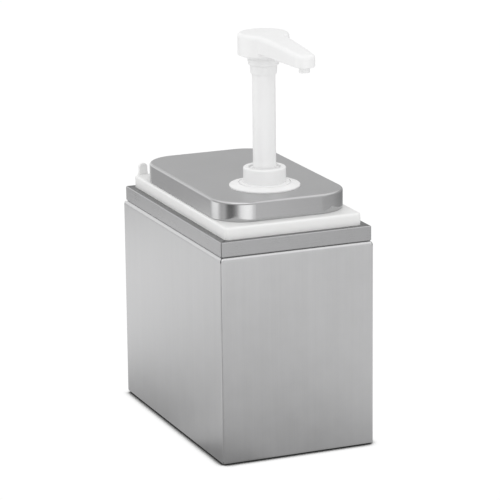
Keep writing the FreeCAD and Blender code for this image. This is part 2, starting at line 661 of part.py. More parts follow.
def pump_cap():
    """The screw cap that holds the cylinder and the stem guide on the neck."""
    body = new_body("pump_cap", on_pump_axis=True)
    inside = "neck_top + stack_gasket + stack_flange + stack_guide"
    turned(body, [("neck_radius + valve_play", "lid_top + cap_foot"),
                  ("cap_radius", "lid_top + cap_foot"), ("cap_radius", "cap_top"),
                  ("cap_recess", "cap_top"), ("cap_recess", "cap_web"),
                  ("guide_radius + valve_play", "cap_web"),
                  ("guide_radius + valve_play", inside),
                  ("neck_radius + valve_play", inside)])
    fillet(body, "cap_edge", level(sheet.cap_top, 2 * sheet.cap_radius))
    fillet(body, "cap_edge / 3", level(sheet.cap_top, 2 * sheet.cap_recess))
    return body


def stem_guide():
    """The bush that guides the stem; its lower end stops the piston."""
    body = new_body("stem_guide", on_pump_axis=True)
    low = "neck_top + stack_gasket + stack_flange"
    turned(body, [("stem_radius + guide_play", "guide_bottom"), ("guide_radius", "guide_bottom"),
                  ("guide_radius", low), ("neck_radius", low),
                  ("neck_radius", low + " + stack_guide"), ("guide_radius", low + " + stack_guide"),
                  ("guide_radius", "guide_top"), ("stem_radius + guide_play", "guide_top")])
    return body


def ring(label, inner, outer, low, height):
    """A flat ring or sleeve on the pump's axis."""
    body = new_body(label, on_pump_axis=True)
    turned(body, [(inner, low), (outer, low), (outer, f"{low} + {height}"),
                  (inner, f"{low} + {height}")])
    return body


def lock_nut():
    """The nut under the lid that clamps the flange, with grip notches round it."""
    body = ring("lock_nut", "thread_radius + valve_play", "nut_radius",
                "lid_top - lid_sheet - gasket_thickness - nut_height", "nut_height")
    notch = new_sketch(body, offset="lid_top - lid_sheet - gasket_thickness + 1")
    circle(notch, "nut_notch", "nut_radius + nut_notch / 3", "0")
    cut = pocket(body, notch, "nut_height + 2")
    pattern = body.newObject("PartDesign::PolarPattern", "lock_nut_notches")
    pattern.Originals = [cut]
    pattern.Axis = (notch, ["N_Axis"])
    pattern.Angle = 360
    bind(pattern, Occurrences="nut_grips")
    body.Tip = pattern
    doc.recompute()
    return body


def pump_cylinder():
    """The cylinder: the bore, its flange under the cap, and the foot valve's socket."""
    body = new_body("pump_cylinder", on_pump_axis=True)
    seat = "neck_top + stack_gasket"
    low = "cylinder_floor - floor_thickness"
    turned(body, [("chamber", low), ("valve_radius + valve_play", low),
                  ("valve_radius + valve_play", low + " - skirt_length"),
                  ("skirt_radius", low + " - skirt_length"), ("skirt_radius", low + " - 1"),
                  ("bore + cylinder_wall", low + " + 1.5"), ("bore + cylinder_wall", seat),
                  ("neck_radius", seat), ("neck_radius", seat + " + stack_flange"),
                  ("bore", seat + " + stack_flange"), ("bore", "cylinder_floor"),
                  ("chamber", "cylinder_floor")])
    return body


def foot_valve():
    """The inlet valve's body: ball chamber, conical seat and tail for the dip tube."""
    body = new_body("foot_valve", on_pump_axis=True)
    top = "cylinder_floor - floor_thickness"
    stop = top + " - skirt_length"
    seat = stop + " + 4"
    turned(body, [("barb_bore", stop + " - barb_length"), ("barb_radius", stop + " - barb_length"),
                  ("barb_radius", stop + " - 2"), ("skirt_radius", stop + " - 2"),
                  ("skirt_radius", stop), ("valve_radius", stop), ("valve_radius", top),
                  ("chamber", top), ("chamber", seat), ("barb_bore", seat + " - chamber + barb_bore")])
    return body


def cage(label, outer, inner, bars_low, low):
    """A ball's retainer: a sleeve with two crossed bars over the ball."""
    height = f"{bars_low} + cage_bar - ({low})"
    body = ring(label, inner, outer, low, height)
    for swap in (False, True):
        bar = new_sketch(body, offset=f"{bars_low}")
        reach, half = f"({outer} + {inner}) / 2", "cage_bar / 2"
        long_way, short_way = (half, reach) if swap else (reach, half)
        outline(bar, [("-" + long_way, "-" + short_way), (long_way, "-" + short_way),
                      (long_way, short_way), ("-" + long_way, short_way)])
        pad(body, bar, "cage_bar")
    return body


def dip_tube():
    """The tube from the foot valve's tail down to the container's floor."""
    top = "cylinder_floor - floor_thickness - skirt_length - 2"
    return ring("dip_tube", "barb_radius + valve_play", "tube_radius", "tube_bottom",
                f"({top} - tube_bottom)")


def return_spring():
    """The spring between the cylinder's floor and the piston."""
    coil = doc.addObject("Part::Helix", "spring_line")
    bind(coil, Radius="spring_radius", Placement__Base__y="-pump_forward",
         Height="piston_bottom - cylinder_floor - 2 * spring_wire - 0.2",
         Pitch="(piston_bottom - cylinder_floor - 2 * spring_wire - 0.2) / spring_turns",
         Placement__Base__z="cylinder_floor + spring_wire + 0.1")
    wire = doc.addObject("Part::Circle", "spring_section")
    wire.Placement = Placement(Vector(), Rotation(Vector(1, 0, 0), 90))
    bind(wire, Radius="spring_wire", Placement__Base__x="spring_radius",
         Placement__Base__y="-pump_forward", Placement__Base__z="cylinder_floor + spring_wire + 0.1")
    doc.recompute()
    sweep = doc.addObject("Part::Sweep", "return_spring")
    sweep.Label = "return_spring"
    sweep.Sections = [wire]
    sweep.Spine = (coil, [f"Edge{k + 1}" for k in range(len(coil.Shape.Edges))])
    sweep.Solid = True
    sweep.Frenet = True
    parts.append(sweep)
    return sweep


def ball(label, radius, seat_height):
    """A valve ball just above a 45 degree seat whose throat is at seat_height."""
    throw = f"(2 ^ 0.5 * {radius} - barb_bore)"
    return primitive("Sphere", label, Radius=radius, Placement__Base__y="-pump_forward",
                     Placement__Base__z=f"{seat_height} + {throw} + ball_play")


# ---------------------------------------------------------------- plunger and head

def stem():
    """The hollow stem, with a ring groove near its top."""
    body = new_body("stem", on_pump_axis=True)
    turned(body, [("stem_bore", "stem_bottom"), ("stem_radius", "stem_bottom"),
                  ("stem_radius", "ring_groove - 0.9"), ("ring_groove_radius", "ring_groove - 0.9"),
                  ("ring_groove_radius", "ring_groove + 0.9"), ("stem_radius", "ring_groove + 0.9"),
                  ("stem_radius", "stem_top"), ("stem_bore", "stem_top")])
    return body


def piston():
    """The piston: socket for the stem, outlet seat, and a groove for its seal."""
    body = new_body("piston", on_pump_axis=True)
    seat = "(stem_bottom - 1)"
    seal_top = "seal_bottom + seal_height"
    turned(body, [("barb_bore", "piston_bottom"), ("piston_radius", "piston_bottom"),
                  ("piston_radius", "seal_bottom"), ("seal_groove_radius", "seal_bottom"),
                  ("seal_groove_radius", seal_top), ("piston_radius", seal_top),
                  ("piston_radius", "piston_top"), ("stem_radius + valve_play", "piston_top"),
                  ("stem_radius + valve_play", "stem_bottom"), ("piston_chamber", "stem_bottom"),
                  ("piston_chamber", seat), ("barb_bore", seat + " - piston_chamber + barb_bore")])
    return body


def stem_ring():
    """The sealing ring between the stem and the head."""
    made = primitive("Torus", "stem_ring", Radius1="ring_groove_radius + ring_section + 0.02",
                     Radius2="ring_section", Placement__Base__y="-pump_forward",
                     Placement__Base__z="ring_groove")
    return made


def spout_outline(sketch):
    """The spout in plan: two sides that run tangent into a round end."""
    reach, end, root = 80.0, 8.0, 12.0  # rough first places, which the constraints correct
    corners = [Vector(end, -reach, 0), Vector(root, -root, 0), Vector(-root, -root, 0),
               Vector(-end, -reach, 0)]
    for start, stop in zip(corners, corners[1:]):
        sketch.addGeometry(Part.LineSegment(start, stop), False)
    tip = Part.Arc(corners[3], Vector(0, -reach - end, 0), corners[0])
    sketch.addGeometry(tip, False)
    sketch.addConstraint(Sketcher.Constraint("Coincident", 0, 2, 1, 1))
    sketch.addConstraint(Sketcher.Constraint("Coincident", 1, 2, 2, 1))
    ends = (1, 2) if sketch.Geometry[3].StartPoint.x < 0 else (2, 1)
    sketch.addConstraint(Sketcher.Constraint("Tangent", 2, 2, 3, ends[0]))
    sketch.addConstraint(Sketcher.Constraint("Tangent", 0, 1, 3, ends[1]))
    hold(sketch, "DistanceX", [3, 3], "0")
    hold(sketch, "DistanceY", [3, 3], "-spout_reach")
    index = sketch.addConstraint(Sketcher.Constraint("Radius", 3, end))
    sketch.setExpression(f"Constraints[{index}]", bound("spout_tip"))
    for vertex, side in (([1, 1], ""), ([1, 2], "-")):
        hold(sketch, "DistanceX", vertex, side + "spout_root")
        hold(sketch, "DistanceY", vertex, "-spout_start")


def above_crown(sketch):
    """The region above the head's top: an arc centred on the pump axis, closed above."""
    front, rear, high = "-(spout_reach + 2 * spout_tip)", "head_radius + 5", "head_top + 5"
    centre, radius, reach = Vector(0, -540, 0), 887.0, 0.1  # rough first places
    crown = Part.Circle(centre, Vector(0, 0, 1), radius)
    quarter = math.pi / 2
    sketch.addGeometry(Part.ArcOfCircle(crown, quarter - reach / 3, quarter + reach), False)
    start, end = sketch.Geometry[0].StartPoint, sketch.Geometry[0].EndPoint
    corners = [end, end + Vector(0, 9, 0), start + Vector(0, 9, 0), start]
    for first, second in zip(corners, corners[1:]):
        sketch.addGeometry(Part.LineSegment(first, second), False)
    for k in range(4):
        sketch.addConstraint(Sketcher.Constraint("Coincident", k, 2, (k + 1) % 4, 1))
    index = sketch.addConstraint(Sketcher.Constraint("Radius", 0, radius))
    sketch.setExpression(f"Constraints[{index}]", bound("crown_radius"))
    hold(sketch, "DistanceX", [0, 3], "0")
    hold(sketch, "DistanceY", [0, 3], "-(crown_radius - head_top)")
    hold(sketch, "DistanceX", [0, 1], rear)
    hold(sketch, "DistanceX", [0, 2], front)
    hold(sketch, "DistanceX", [1, 2], front)
    hold(sketch, "DistanceY", [1, 2], high)
    hold(sketch, "DistanceX", [2, 2], rear)
    hold(sketch, "DistanceY", [2, 2], high)


def pump_head():
    """The press pad with its neck and level spout; the passage runs through both."""
    body = new_body("pump_head", on_pump_axis=True)
    spout = new_sketch(body, offset="spout_bottom")
    spout_outline(spout)
    pad(body, spout, "head_top - spout_bottom")
    wall, root_y = sheet.head_radius, -sheet.spout_start
    top, low = sheet.head_top, sheet.spout_bottom
    fillet(body, "spout_low_edge", lambda box: level(low)(box) and box.YMin < root_y - 1)
    socket = "stem_radius + head_play"
    turned(body, [(socket, "collet_bottom"), ("collet_radius", "collet_bottom"),
                  ("collet_step_radius", "collet_step"), ("neck_wide", "collet_step + step_rise"),
                  ("neck_wide", "bead_bottom"), ("bead_radius", "bead_bottom + bead_slope"),
                  ("bead_radius", "bead_top - bead_slope"), ("neck_wide", "bead_top"),
                  ("neck_wide", "head_bottom"), ("head_radius", "head_bottom"),
                  ("head_radius", "head_top"), ("0", "head_top"), ("0", "riser_roof"),
                  ("riser_radius", "riser_roof"), ("riser_radius", "stem_top"),
                  (socket, "stem_top")])
    fillet(body, "shoulder", lambda box: -wall - TOLERANCE < box.YMin < root_y - 1
           and box.ZMin > low - TOLERANCE and near(box.ZMax, top) and box.ZLength > 5)
    fillet(body, "head_low_edge", level(sheet.head_bottom, 2 * sheet.head_radius))
    above = new_sketch(body, "YZ_Plane", offset="-(head_radius + 5)")
    above_crown(above)
    pocket(body, above, "2 * (head_radius + 5)", upwards=True)
    fillet(body, "head_edge", lambda box: box.ZMin > sheet.duct_height)
    nozzle_hole = new_sketch(body, offset="spout_bottom - 1")
    circle(nozzle_hole, "nozzle_radius + valve_play", "0", "-spout_reach")
    pocket(body, nozzle_hole, "nozzle_top - spout_bottom + 1", upwards=True)
    rise = new_sketch(body, offset="spout_bottom")
    circle(rise, "nozzle_bore", "0", "-spout_reach")
    pocket(body, rise, "duct_height - spout_bottom", upwards=True)
    duct = new_sketch(body, "XZ_Plane")
    circle(duct, "duct_radius", "0", "duct_height")
    pocket(body, duct, "spout_reach", upwards=True)
    return body


def spout_nozzle():
    """The short nozzle under the spout's end."""
    body = new_body("spout_nozzle")
    bind(body, Placement__Base__y="-(pump_forward + spout_reach)")
    turned(body, [("nozzle_bore", "nozzle_bottom"), ("nozzle_radius", "nozzle_bottom"),
                  ("nozzle_radius", "nozzle_top"), ("nozzle_bore", "nozzle_top")])
    return body


def check():
    """Stop if any object failed, or a part is empty or not valid."""
    doc.recompute()
    failed = [o.Name for o in doc.Objects if {"Invalid", "Error"} & set(o.State)]
    if failed:
        raise RuntimeError(f"failed objects: {failed}")
    bad = [p.Label for p in parts
           if p.Shape.isNull() or not p.Shape.isValid() or not p.Shape.Solids]
    if bad:
        raise RuntimeError(f"no valid shape: {bad}")


front_shell()
rear_panel()
for name, angle in COLLARS.items():
    collar(name, angle)
base_plate()
base_pad()
base_rivets()
container()
lid()
pump_flange()
pump_cap()
stem_guide()
ring("cylinder_gasket", "neck_bore", "neck_radius", "neck_top", "stack_gasket")
ring("lid_gasket", "thread_radius + valve_play", "gasket_radius",
     "lid_top - lid_sheet - gasket_thickness", "gasket_thickness")
lock_nut()
pump_cylinder()
foot_valve()
dip_tube()
SEAT = "cylinder_floor - floor_thickness - skirt_length + 4 - chamber + barb_bore"
INLET_TOP = f"{SEAT} + (2 ^ 0.5 + 1) * inlet_ball_radius - barb_bore"
cage("inlet_cage", "(chamber - valve_play)", "(inlet_ball_radius + 0.3)",
     f"{INLET_TOP} + cage_clear", f"{INLET_TOP} - 2")
ball("inlet_ball", "inlet_ball_radius", SEAT)
return_spring()
stem()
piston()
ring("piston_seal", "seal_groove_radius + valve_play", "seal_radius",
     "(seal_bottom + valve_play)", "seal_height - 2 * valve_play")
PISTON_SEAT = "stem_bottom - 1 - piston_chamber + barb_bore"
OUTLET_TOP = f"{PISTON_SEAT} + (2 ^ 0.5 + 1) * outlet_ball_radius - barb_bore"
cage("outlet_cage", "(stem_bore - valve_play)", "(outlet_ball_radius + 0.4)",
     f"{OUTLET_TOP} + cage_clear", "stem_bottom + 0.1")
ball("outlet_ball", "outlet_ball_radius", PISTON_SEAT)
stem_ring()
pump_head()
spout_nozzle()
check()

os.makedirs("parts", exist_ok=True)
for part in parts:
    part.Shape.exportStep(f"parts/{part.Label}.step")
    box = part.Shape.BoundBox
    print(f"{part.Label:16s} {part.Shape.Volume / 1000:9.2f} cm3  "
          f"x {box.XMin:7.2f} {box.XMax:7.2f}  y {box.YMin:8.2f} {box.YMax:7.2f}  "
          f"z {box.ZMin:7.2f} {box.ZMax:7.2f}")
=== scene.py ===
import math

import bpy
from mathutils import Matrix, Vector


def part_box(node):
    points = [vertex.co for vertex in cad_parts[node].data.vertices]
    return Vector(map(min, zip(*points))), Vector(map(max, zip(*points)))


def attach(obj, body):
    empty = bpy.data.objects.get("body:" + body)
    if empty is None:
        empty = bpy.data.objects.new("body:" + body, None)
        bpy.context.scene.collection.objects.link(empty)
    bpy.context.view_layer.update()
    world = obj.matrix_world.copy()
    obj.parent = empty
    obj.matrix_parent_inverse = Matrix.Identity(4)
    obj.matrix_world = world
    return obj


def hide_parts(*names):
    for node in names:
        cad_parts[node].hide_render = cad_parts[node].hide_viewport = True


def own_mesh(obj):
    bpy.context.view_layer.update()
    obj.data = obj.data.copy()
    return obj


# Looks of the condiment pump dispenser. Everything is in metres, in the CAD frame:
# +X right, +Y to the rear, +Z up, the standing plane at z = 0.
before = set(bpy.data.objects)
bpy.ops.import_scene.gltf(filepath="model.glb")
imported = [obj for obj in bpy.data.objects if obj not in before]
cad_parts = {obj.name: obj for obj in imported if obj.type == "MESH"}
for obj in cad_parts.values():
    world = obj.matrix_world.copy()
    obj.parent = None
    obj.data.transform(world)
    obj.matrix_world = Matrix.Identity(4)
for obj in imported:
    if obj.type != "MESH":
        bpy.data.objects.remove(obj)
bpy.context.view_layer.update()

scene = bpy.context.scene
scene.view_settings.view_transform = "Standard"

MM = 0.001
WHITE = (1.0, 1.0, 1.0, 1.0)
FINE_NOISE = (0.2, 0.8)  # the values that fine, detailed noise mostly takes
SOFT_NOISE = (0.3, 0.7)  # the values that broad, smooth noise mostly takes
LEVEL_FACE = (0.75, 0.97)  # the upward share of the normal, from a sloping face to a level one, over which painted shade on level faces sets in
LID_TOP = (0.55, 0.95)  # the same share, from the lid's polished skirt to its satin top


# ---------------------------------------------------------------- node helpers

class Tree:
    """A short way to build a node tree."""

    def __init__(self, tree):
        self.tree = tree
        self.tree.nodes.clear()

    def node(self, kind, inputs=None, **settings):
        """A node with some settings; inputs maps socket names or numbers to values or sockets."""
        made = self.tree.nodes.new(kind)
        for name, value in settings.items():
            setattr(made, name, value)
        for key, value in (inputs or {}).items():
            if isinstance(value, bpy.types.NodeSocket):
                self.tree.links.new(value, made.inputs[key])
            else:
                made.inputs[key].default_value = value
        return made

    def math(self, operation, first, second=0.0):
        """A sum, product or other operation on one or two values or sockets."""
        made = self.node("ShaderNodeMath", {0: first, 1: second}, operation=operation)
        return made.outputs[0]

    def remap(self, value, low, high, to_low, to_high):
        """A value's range carried to another range, clamped."""
        made = self.node("ShaderNodeMapRange", {"Value": value, "From Min": low, "From Max": high,
                                                "To Min": to_low, "To Max": to_high})
        return made.outputs["Result"]

    def fine(self, noise, low, high):
        """Fine noise carried to the range from low to high."""
        return self.remap(noise, *FINE_NOISE, low, high)

    def soft(self, noise, low, high):
        """Smooth noise carried to the range from low to high."""
        return self.remap(noise, *SOFT_NOISE, low, high)

    def noise(self, per_metre, detail=4.0, roughness=0.55, seed=0.0):
        """Noise in object space; per_metre is its frequency along X, Y and Z."""
        place = self.node("ShaderNodeTexCoord").outputs["Object"]
        scaled = self.node("ShaderNodeMapping", {"Vector": place, "Scale": per_metre,
                                                 "Location": (seed, seed * 0.7, seed * 1.3)})
        made = self.node("ShaderNodeTexNoise", {"Vector": scaled.outputs[0], "Scale": 1.0,
                                                "Detail": detail, "Roughness": roughness})
        return made.outputs[0]

    def facing_up(self):
        """How far the surface faces up: the Z part of its normal in object space."""
        normal = self.node("ShaderNodeTexCoord").outputs["Normal"]
        return self.node("ShaderNodeSeparateXYZ", {0: normal}).outputs[2]

    def blend(self, factor, first, second):
        """A value that goes from the first to the second as the factor goes from 0 to 1."""
        made = self.node("ShaderNodeMix", {"Factor": factor, 2: first, 3: second},
                         data_type="FLOAT")
        return made.outputs[0]

    def glow(self, strength):
        """A white surface that shines with this strength."""
        return self.node("ShaderNodeEmission", {"Color": WHITE, "Strength": strength})

    def shade(self, base, amount):
        """A base colour made lighter and darker by a factor socket round 1."""
        made = self.node("ShaderNodeVectorMath", {0: base, "Scale": amount}, operation="SCALE")
        return made.outputs[0]

    def bump(self, height, depth, strength):
        """A normal that follows a height socket, with a depth in metres."""
        made = self.node("ShaderNodeBump", {"Height": height, "Distance": depth,
                                            "Strength": strength})
        return made.outputs[0]


def new_material(name):
    """A material with an empty node tree, and the helper for that tree."""
    material = bpy.data.materials.new(name)
    material.use_nodes = True
    return material, Tree(material.node_tree)


def finish_material(tree, inputs):
    """A Principled surface with the given inputs."""
    shader = tree.node("ShaderNodeBsdfPrincipled", inputs)
    output = tree.node("ShaderNodeOutputMaterial")
    tree.tree.links.new(shader.outputs[0], output.inputs["Surface"])


def finish_metal(tree, base, tone, rough, normal):
    """A bare metal surface whose colour is the base times a tone."""
    finish_material(tree, {"Base Color": tree.shade(base, tone), "Metallic": 1.0,
                           "Roughness": rough, "Normal": normal})


# ---------------------------------------------------------------- materials

def brushed_steel(name, base, grain, roughness=0.34, streaks=0.05, grain_depth=0.012, seed=0.0,
                  painted_level_shade=1.0):
    """Stainless steel ground along one axis: fine grain, broad faint streaks and mottling.

    The level-face factor darkens or lightens the faces that lie level: painted shade.
    """
    material, tree = new_material(name)
    along = {"X": 0, "Y": 1, "Z": 2}[grain]
    fine, broad = [2600.0] * 3, [150.0] * 3
    fine[along], broad[along] = 22.0, 3.0
    lines = tree.noise(fine, 5.0, 0.65, seed)
    bands = tree.noise(broad, 4.0, 0.6, seed + 3)
    mottle = tree.noise([55.0] * 3, 3.0, 0.5, seed + 7)
    tone = tree.math("ADD", tree.soft(bands, 1 - streaks, 1 + streaks),
                     tree.soft(mottle, -0.02, 0.02))
    tone = tree.math("ADD", tone, tree.fine(lines, -0.03, 0.03))
    # Painted shade: the faces that lie level take a darker tone, whatever the light.
    tone = tree.math("MULTIPLY", tone, tree.remap(tree.facing_up(), *LEVEL_FACE, 1.0, painted_level_shade))
    rough = tree.math("ADD", tree.fine(lines, roughness - 0.06, roughness + 0.06),
                      tree.soft(mottle, -0.03, 0.03))
    normal = tree.bump(lines, grain_depth * MM, 0.6)
    finish_metal(tree, base, tone, rough, normal)
    return material


def lid_steel(name, base, seed=0.0):
    """The lid: a satin top ground lengthways and a polished skirt with faint drawing lines."""
    material, tree = new_material(name)
    top = tree.remap(tree.facing_up(), *LID_TOP, 0.0, 1.0)
    lines = tree.noise([2200.0, 20.0, 2600.0], 5.0, 0.65, seed)
    drawn = tree.noise([6.0, 6.0, 2400.0], 4.0, 0.6, seed + 5)
    mottle = tree.noise([35.0] * 3, 3.0, 0.5, seed + 9)
    grain = tree.blend(top, drawn, lines)
    tone = tree.math("ADD", tree.fine(grain, 0.96, 1.04), tree.soft(mottle, -0.015, 0.015))
    rough = tree.math("ADD", tree.remap(top, 0.0, 1.0, 0.13, 0.33), tree.fine(grain, -0.03, 0.05))
    normal = tree.bump(grain, 0.008 * MM, 0.5)
    finish_metal(tree, base, tone, rough, normal)
    return material


def moulded_plastic(name, base, roughness=0.38, seed=0.0, translucence=0.0, texture=0.02):
    """Moulded polypropylene: faint cloudiness, a fine skin and a soft gloss."""
    material, tree = new_material(name)
    cloud = tree.noise([40.0] * 3, 4.0, 0.55, seed)
    skin = tree.noise([1400.0] * 3, 3.0, 0.6, seed + 4)
    flow = tree.noise([160.0, 160.0, 20.0], 3.0, 0.5, seed + 8)
    tone = tree.math("ADD", tree.soft(cloud, 0.985, 1.0), tree.soft(flow, -0.008, 0.004))
    rough = tree.math("ADD", tree.fine(skin, roughness - 0.05, roughness + 0.05),
                      tree.soft(cloud, -0.03, 0.03))
    normal = tree.bump(skin, texture * MM, 0.4)
    finish_material(tree, {"Base Color": tree.shade(base, tone), "Roughness": rough,
                           "Normal": normal, "IOR": 1.49, "Subsurface Weight": translucence,
                           "Subsurface Radius": (3.0, 3.0, 3.0), "Subsurface Scale": MM})
    return material


def rubber(name, base, roughness=0.75, seed=0.0):
    """Matt rubber with a fine granular skin."""
    material, tree = new_material(name)
    grain = tree.noise([900.0] * 3, 5.0, 0.7, seed)
    cloud = tree.noise([30.0] * 3, 3.0, 0.5, seed + 2)
    tone = tree.math("ADD", tree.fine(grain, 0.85, 1.15), tree.soft(cloud, -0.08, 0.08))
    rough = tree.fine(grain, roughness - 0.1, roughness + 0.1)
    finish_material(tree, {"Base Color": tree.shade(base, tone), "Roughness": rough,
                           "Normal": tree.bump(grain, 0.05 * MM, 0.7)})
    return material


def plated_steel(name, base, roughness=0.42, seed=0.0):
    """Plain rolled sheet and rivets: spangle and soft blotches."""
    material, tree = new_material(name)
    place = tree.node("ShaderNodeTexCoord").outputs["Object"]
    spangle = tree.node("ShaderNodeTexVoronoi", {"Vector": place, "Scale": 180.0})
    blotch = tree.noise([70.0] * 3, 4.0, 0.6, seed)
    tone = tree.math("ADD", tree.remap(spangle.outputs["Distance"], 0.0, 0.6, 0.93, 1.05),
                     tree.soft(blotch, -0.05, 0.05))
    rough = tree.soft(blotch, roughness - 0.08, roughness + 0.08)
    finish_metal(tree, base, tone, rough, tree.bump(blotch, 0.02 * MM, 0.4))
    return material


def bright_wire(name, base, seed=0.0):
    """Bright drawn stainless wire and polished balls."""
    material, tree = new_material(name)
    lines = tree.noise([900.0, 900.0, 300.0], 4.0, 0.6, seed)
    rough = tree.fine(lines, 0.12, 0.26)
    tone = tree.fine(lines, 0.94, 1.04)
    finish_metal(tree, base, tone, rough, tree.bump(lines, 0.01 * MM, 0.4))
    return material


STEEL = (0.62, 0.62, 0.625)
COLLAR_STEEL = (0.455, 0.455, 0.46)
MATERIALS = {
    "shell_steel": brushed_steel("shell_steel", STEEL, "Z", streaks=0.014, seed=1.0),
    "panel_steel": brushed_steel("panel_steel", STEEL, "Z", streaks=0.02, seed=11.0),
    # The collars' level faces get painted shade, which darkens their top flanges as if they lay in
    # shade.
    "collar_across": brushed_steel("collar_across", COLLAR_STEEL, "X", 0.3, 0.02, seed=21.0,
                                   painted_level_shade=0.4),
    "collar_along": brushed_steel("collar_along", COLLAR_STEEL, "Y", 0.3, 0.02, seed=31.0,
                                  painted_level_shade=0.4),
    "lid_steel": lid_steel("lid_steel", (0.48, 0.48, 0.484), seed=41.0),
    "plate_steel": plated_steel("plate_steel", (0.55, 0.56, 0.57), seed=51.0),
    "wire_steel": bright_wire("wire_steel", (0.66, 0.66, 0.67), seed=55.0),
    "pad_rubber": rubber("pad_rubber", (0.035, 0.035, 0.035), seed=61.0),
    "seal_silicone": rubber("seal_silicone", (0.72, 0.72, 0.70), 0.5, seed=65.0),
    "tub_plastic": moulded_plastic("tub_plastic", (0.86, 0.86, 0.855), 0.42, 71.0, 0.12),
    "pump_plastic": moulded_plastic("pump_plastic", (0.885, 0.885, 0.885), 0.36, 75.0, 0.10),
    "inner_plastic": moulded_plastic("inner_plastic", (0.80, 0.80, 0.785), 0.40, 81.0, 0.2),
}
FINISHES = {
    "shell_steel": ["front_shell"],
    "panel_steel": ["rear_panel"],
    "collar_across": ["collar_front", "collar_rear"],
    "collar_along": ["collar_left", "collar_right"],
    "lid_steel": ["lid"],
    "plate_steel": ["base_plate", "base_rivets"],
    "wire_steel": ["return_spring", "inlet_ball", "outlet_ball"],
    "pad_rubber": ["base_pad"],
    "seal_silicone": ["cylinder_gasket", "lid_gasket", "piston_seal", "stem_ring"],
    "tub_plastic": ["container"],
    "pump_plastic": ["pump_flange", "pump_cap", "stem_guide", "lock_nut", "stem", "pump_head",
                     "spout_nozzle"],
    "inner_plastic": ["pump_cylinder", "foot_valve", "inlet_cage", "dip_tube", "piston",
                      "outlet_cage"],
}
for finish, nodes in FINISHES.items():
    for node in nodes:
        for material_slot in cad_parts[node].material_slots:
            material_slot.material = MATERIALS[finish]


def squeezing_spring():
    """Stands for the return spring: a copy of the CAD solid with its own mesh, carried with the lid.
    """
    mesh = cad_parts["return_spring"].data.copy()
    mesh.materials.clear()
    mesh.materials.append(MATERIALS["wire_steel"])
    spring = bpy.data.objects.new("squeezing_spring", mesh)
    scene.collection.objects.link(spring)
    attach(spring, "lid")
    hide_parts("return_spring")
    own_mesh(spring)


squeezing_spring()


# ---------------------------------------------------------------- stage, light and camera

# The floor as the camera sees it: white, with a painted contact shadow, a thin dark line where the
# object stands on it.
CONTACT_SHADOW = 0.009  # how far from the object the floor darkens, in metres
CONTACT_TONES = [(0.0, 0.03), (0.45, 0.08), (0.58, 0.25), (0.7, 0.78), (0.85, 0.96), (1.0, 1.02)]
CONTACT_SAMPLES = 8
FLOOR_REACH = 6.0
FLOOR_PAPER = (0.82, 0.82, 0.82)
FLOOR_LIFT = 0.10  # how much the paper glows, to fill the object's shadows

# The table as polished steel mirrors it, with painted shade round the housing that lifts with
# distance from it, in metres.
NEAR_PAINTED_SHADE = [(0.0, 0.48), (0.08, 0.57), (0.16, 0.68), (0.24, 0.75), (0.36, 0.80), (0.6, 0.84),
              (0.9, 0.86)]
SIDEWAYS = 2.6  # the painted shade lifts this many times faster beside the housing than ahead of it
TABLE_EDGE = (0.74, 0.82)  # from the middle, where the table gives way to its surroundings
# Beside the object the table's painted light is brighter behind it on the left than at its left
# front corner.
# The angles here and below are in degrees, from +X towards +Y.
ROUND_THE_FOOT = [(-180, 0.98), (-162, 0.98), (-148, 0.8), (-138, 0.6), (-113, 0.6), (-98, 0.86),
                  (-78, 0.87), (-72, 0.94), (-66, 0.97), (-40, 1.0), (60, 1.0), (100, 1.25),
                  (114, 1.26), (118, 1.1), (123, 1.04), (130, 0.96), (150, 0.88), (168, 0.93),
                  (180, 0.98)]
# The table's surroundings: a dark stand on the left, a bright screen by the camera.
ROUND_THE_TABLE = [(-180, 0.66), (-173, 0.72), (-152, 0.19), (-133, 0.45), (-111, 1.65),
                   (-95, 1.8), (-80, 1.3), (-70, 0.86), (-60, 0.66), (-30, 0.6), (0, 0.45),
                   (30, 0.35), (60, 0.4), (90, 0.8), (108, 0.6), (118, 0.6), (132, 1.1),
                   (157, 1.6), (170, 1.05), (180, 0.66)]

# The studio's walls as polished metal mirrors them, by compass angle, and its ceiling, by how
# steeply the mirrored ray rises: the ray's upward share, -1 straight down and 1 straight up.
LOW_SKY = [(-180, 0.6), (-100, 0.6), (-67, 0.85), (-30, 0.6), (0, 0.6), (50, 0.55), (68, 0.6),
           (82, 1.0), (95, 1.15), (120, 1.1), (140, 0.7), (180, 0.6)]
HIGH_SKY = [(-1.0, 0.6), (0.4, 0.75), (0.6, 1.1), (0.8, 1.25), (1.0, 1.2)]
SKY_EDGE = (0.32, 0.5)  # the upward share between which the walls give way to the ceiling


def ramp(tree, value, stops):
    """A smooth curve through (value, height) pairs, read at a socket's value."""
    low, high = stops[0][0], stops[-1][0]
    tallest = max(height for _, height in stops)
    place = tree.remap(value, low, high, 0.0, 1.0)
    curve = tree.node("ShaderNodeFloatCurve", {"Value": place})
    points = curve.mapping.curves[0].points
    points[0].location = (0.0, stops[0][1] / tallest)
    points[1].location = (1.0, stops[-1][1] / tallest)
    for position, height in stops[1:-1]:
        points.new((position - low) / (high - low), height / tallest)
    curve.mapping.update()
    return tree.math("MULTIPLY", curve.outputs[0], tallest)


def compass_ramp(tree, angle, stops):
    """A smooth curve of tones by compass angle, with the stops' angles in degrees."""
    return ramp(tree, angle, [(math.radians(turn), tone) for turn, tone in stops])


def distance(tree, across, along):
    """The length of a flat vector."""
    return tree.math("SQRT", tree.math("ADD", tree.math("POWER", across, 2.0),
                                       tree.math("POWER", along, 2.0)))


def beyond(tree, value, limit):
    """How far a coordinate lies outside a band of this half width round zero."""
    outside = tree.math("SUBTRACT", tree.math("ABSOLUTE", value), limit)
    return tree.math("MAXIMUM", outside, 0.0)


